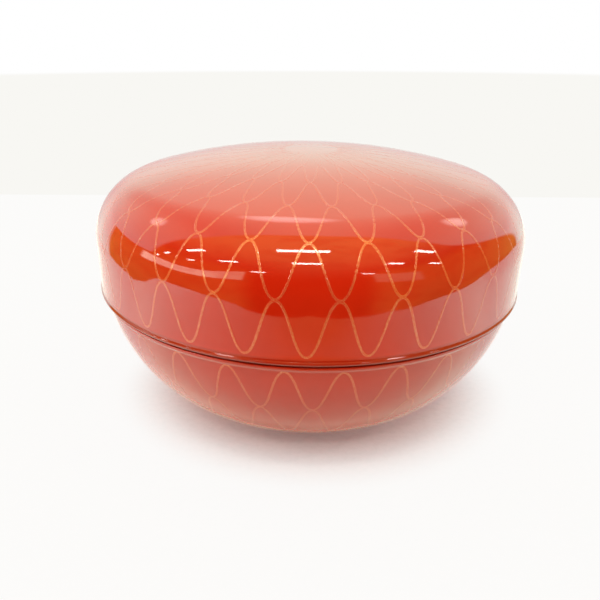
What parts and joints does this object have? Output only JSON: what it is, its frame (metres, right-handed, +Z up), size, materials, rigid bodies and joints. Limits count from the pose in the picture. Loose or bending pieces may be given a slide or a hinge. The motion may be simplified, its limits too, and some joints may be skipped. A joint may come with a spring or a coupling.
{
  "type": "lidded sweets bowl",
  "caption": "Round lidded sweets bowl in vermilion lacquer, with a domed lift-off lid seated over a standing mouth ring, a low foot ring and a gold net of wave lines.",
  "frame": {"origin": "centre of the foot ring's resting face", "axes": "+Z up along the axis of revolution, -Y towards the viewer of the reference view"},
  "size_m": [0.2316, 0.2316, 0.145],
  "materials": {
    "vermilion_lacquer": "high-gloss vermilion lacquer over a turned wooden core",
    "gold_line": "satin gold powder bound in lacquer"
  },
  "bodies": {
    "bowl": {"bowl": "vermilion_lacquer", "foot_ring": "vermilion_lacquer", "mouth_ring": "vermilion_lacquer", "bowl_net": "gold_line"},
    "lid": {"lid": "vermilion_lacquer", "lid_net": "gold_line"}
  },
  "joints": [
    {"name": "lid_lift", "type": "slide", "parent": "bowl", "child": "lid", "axis": [0, 0, 1], "range_m": [0, 0.12]}
  ]
}
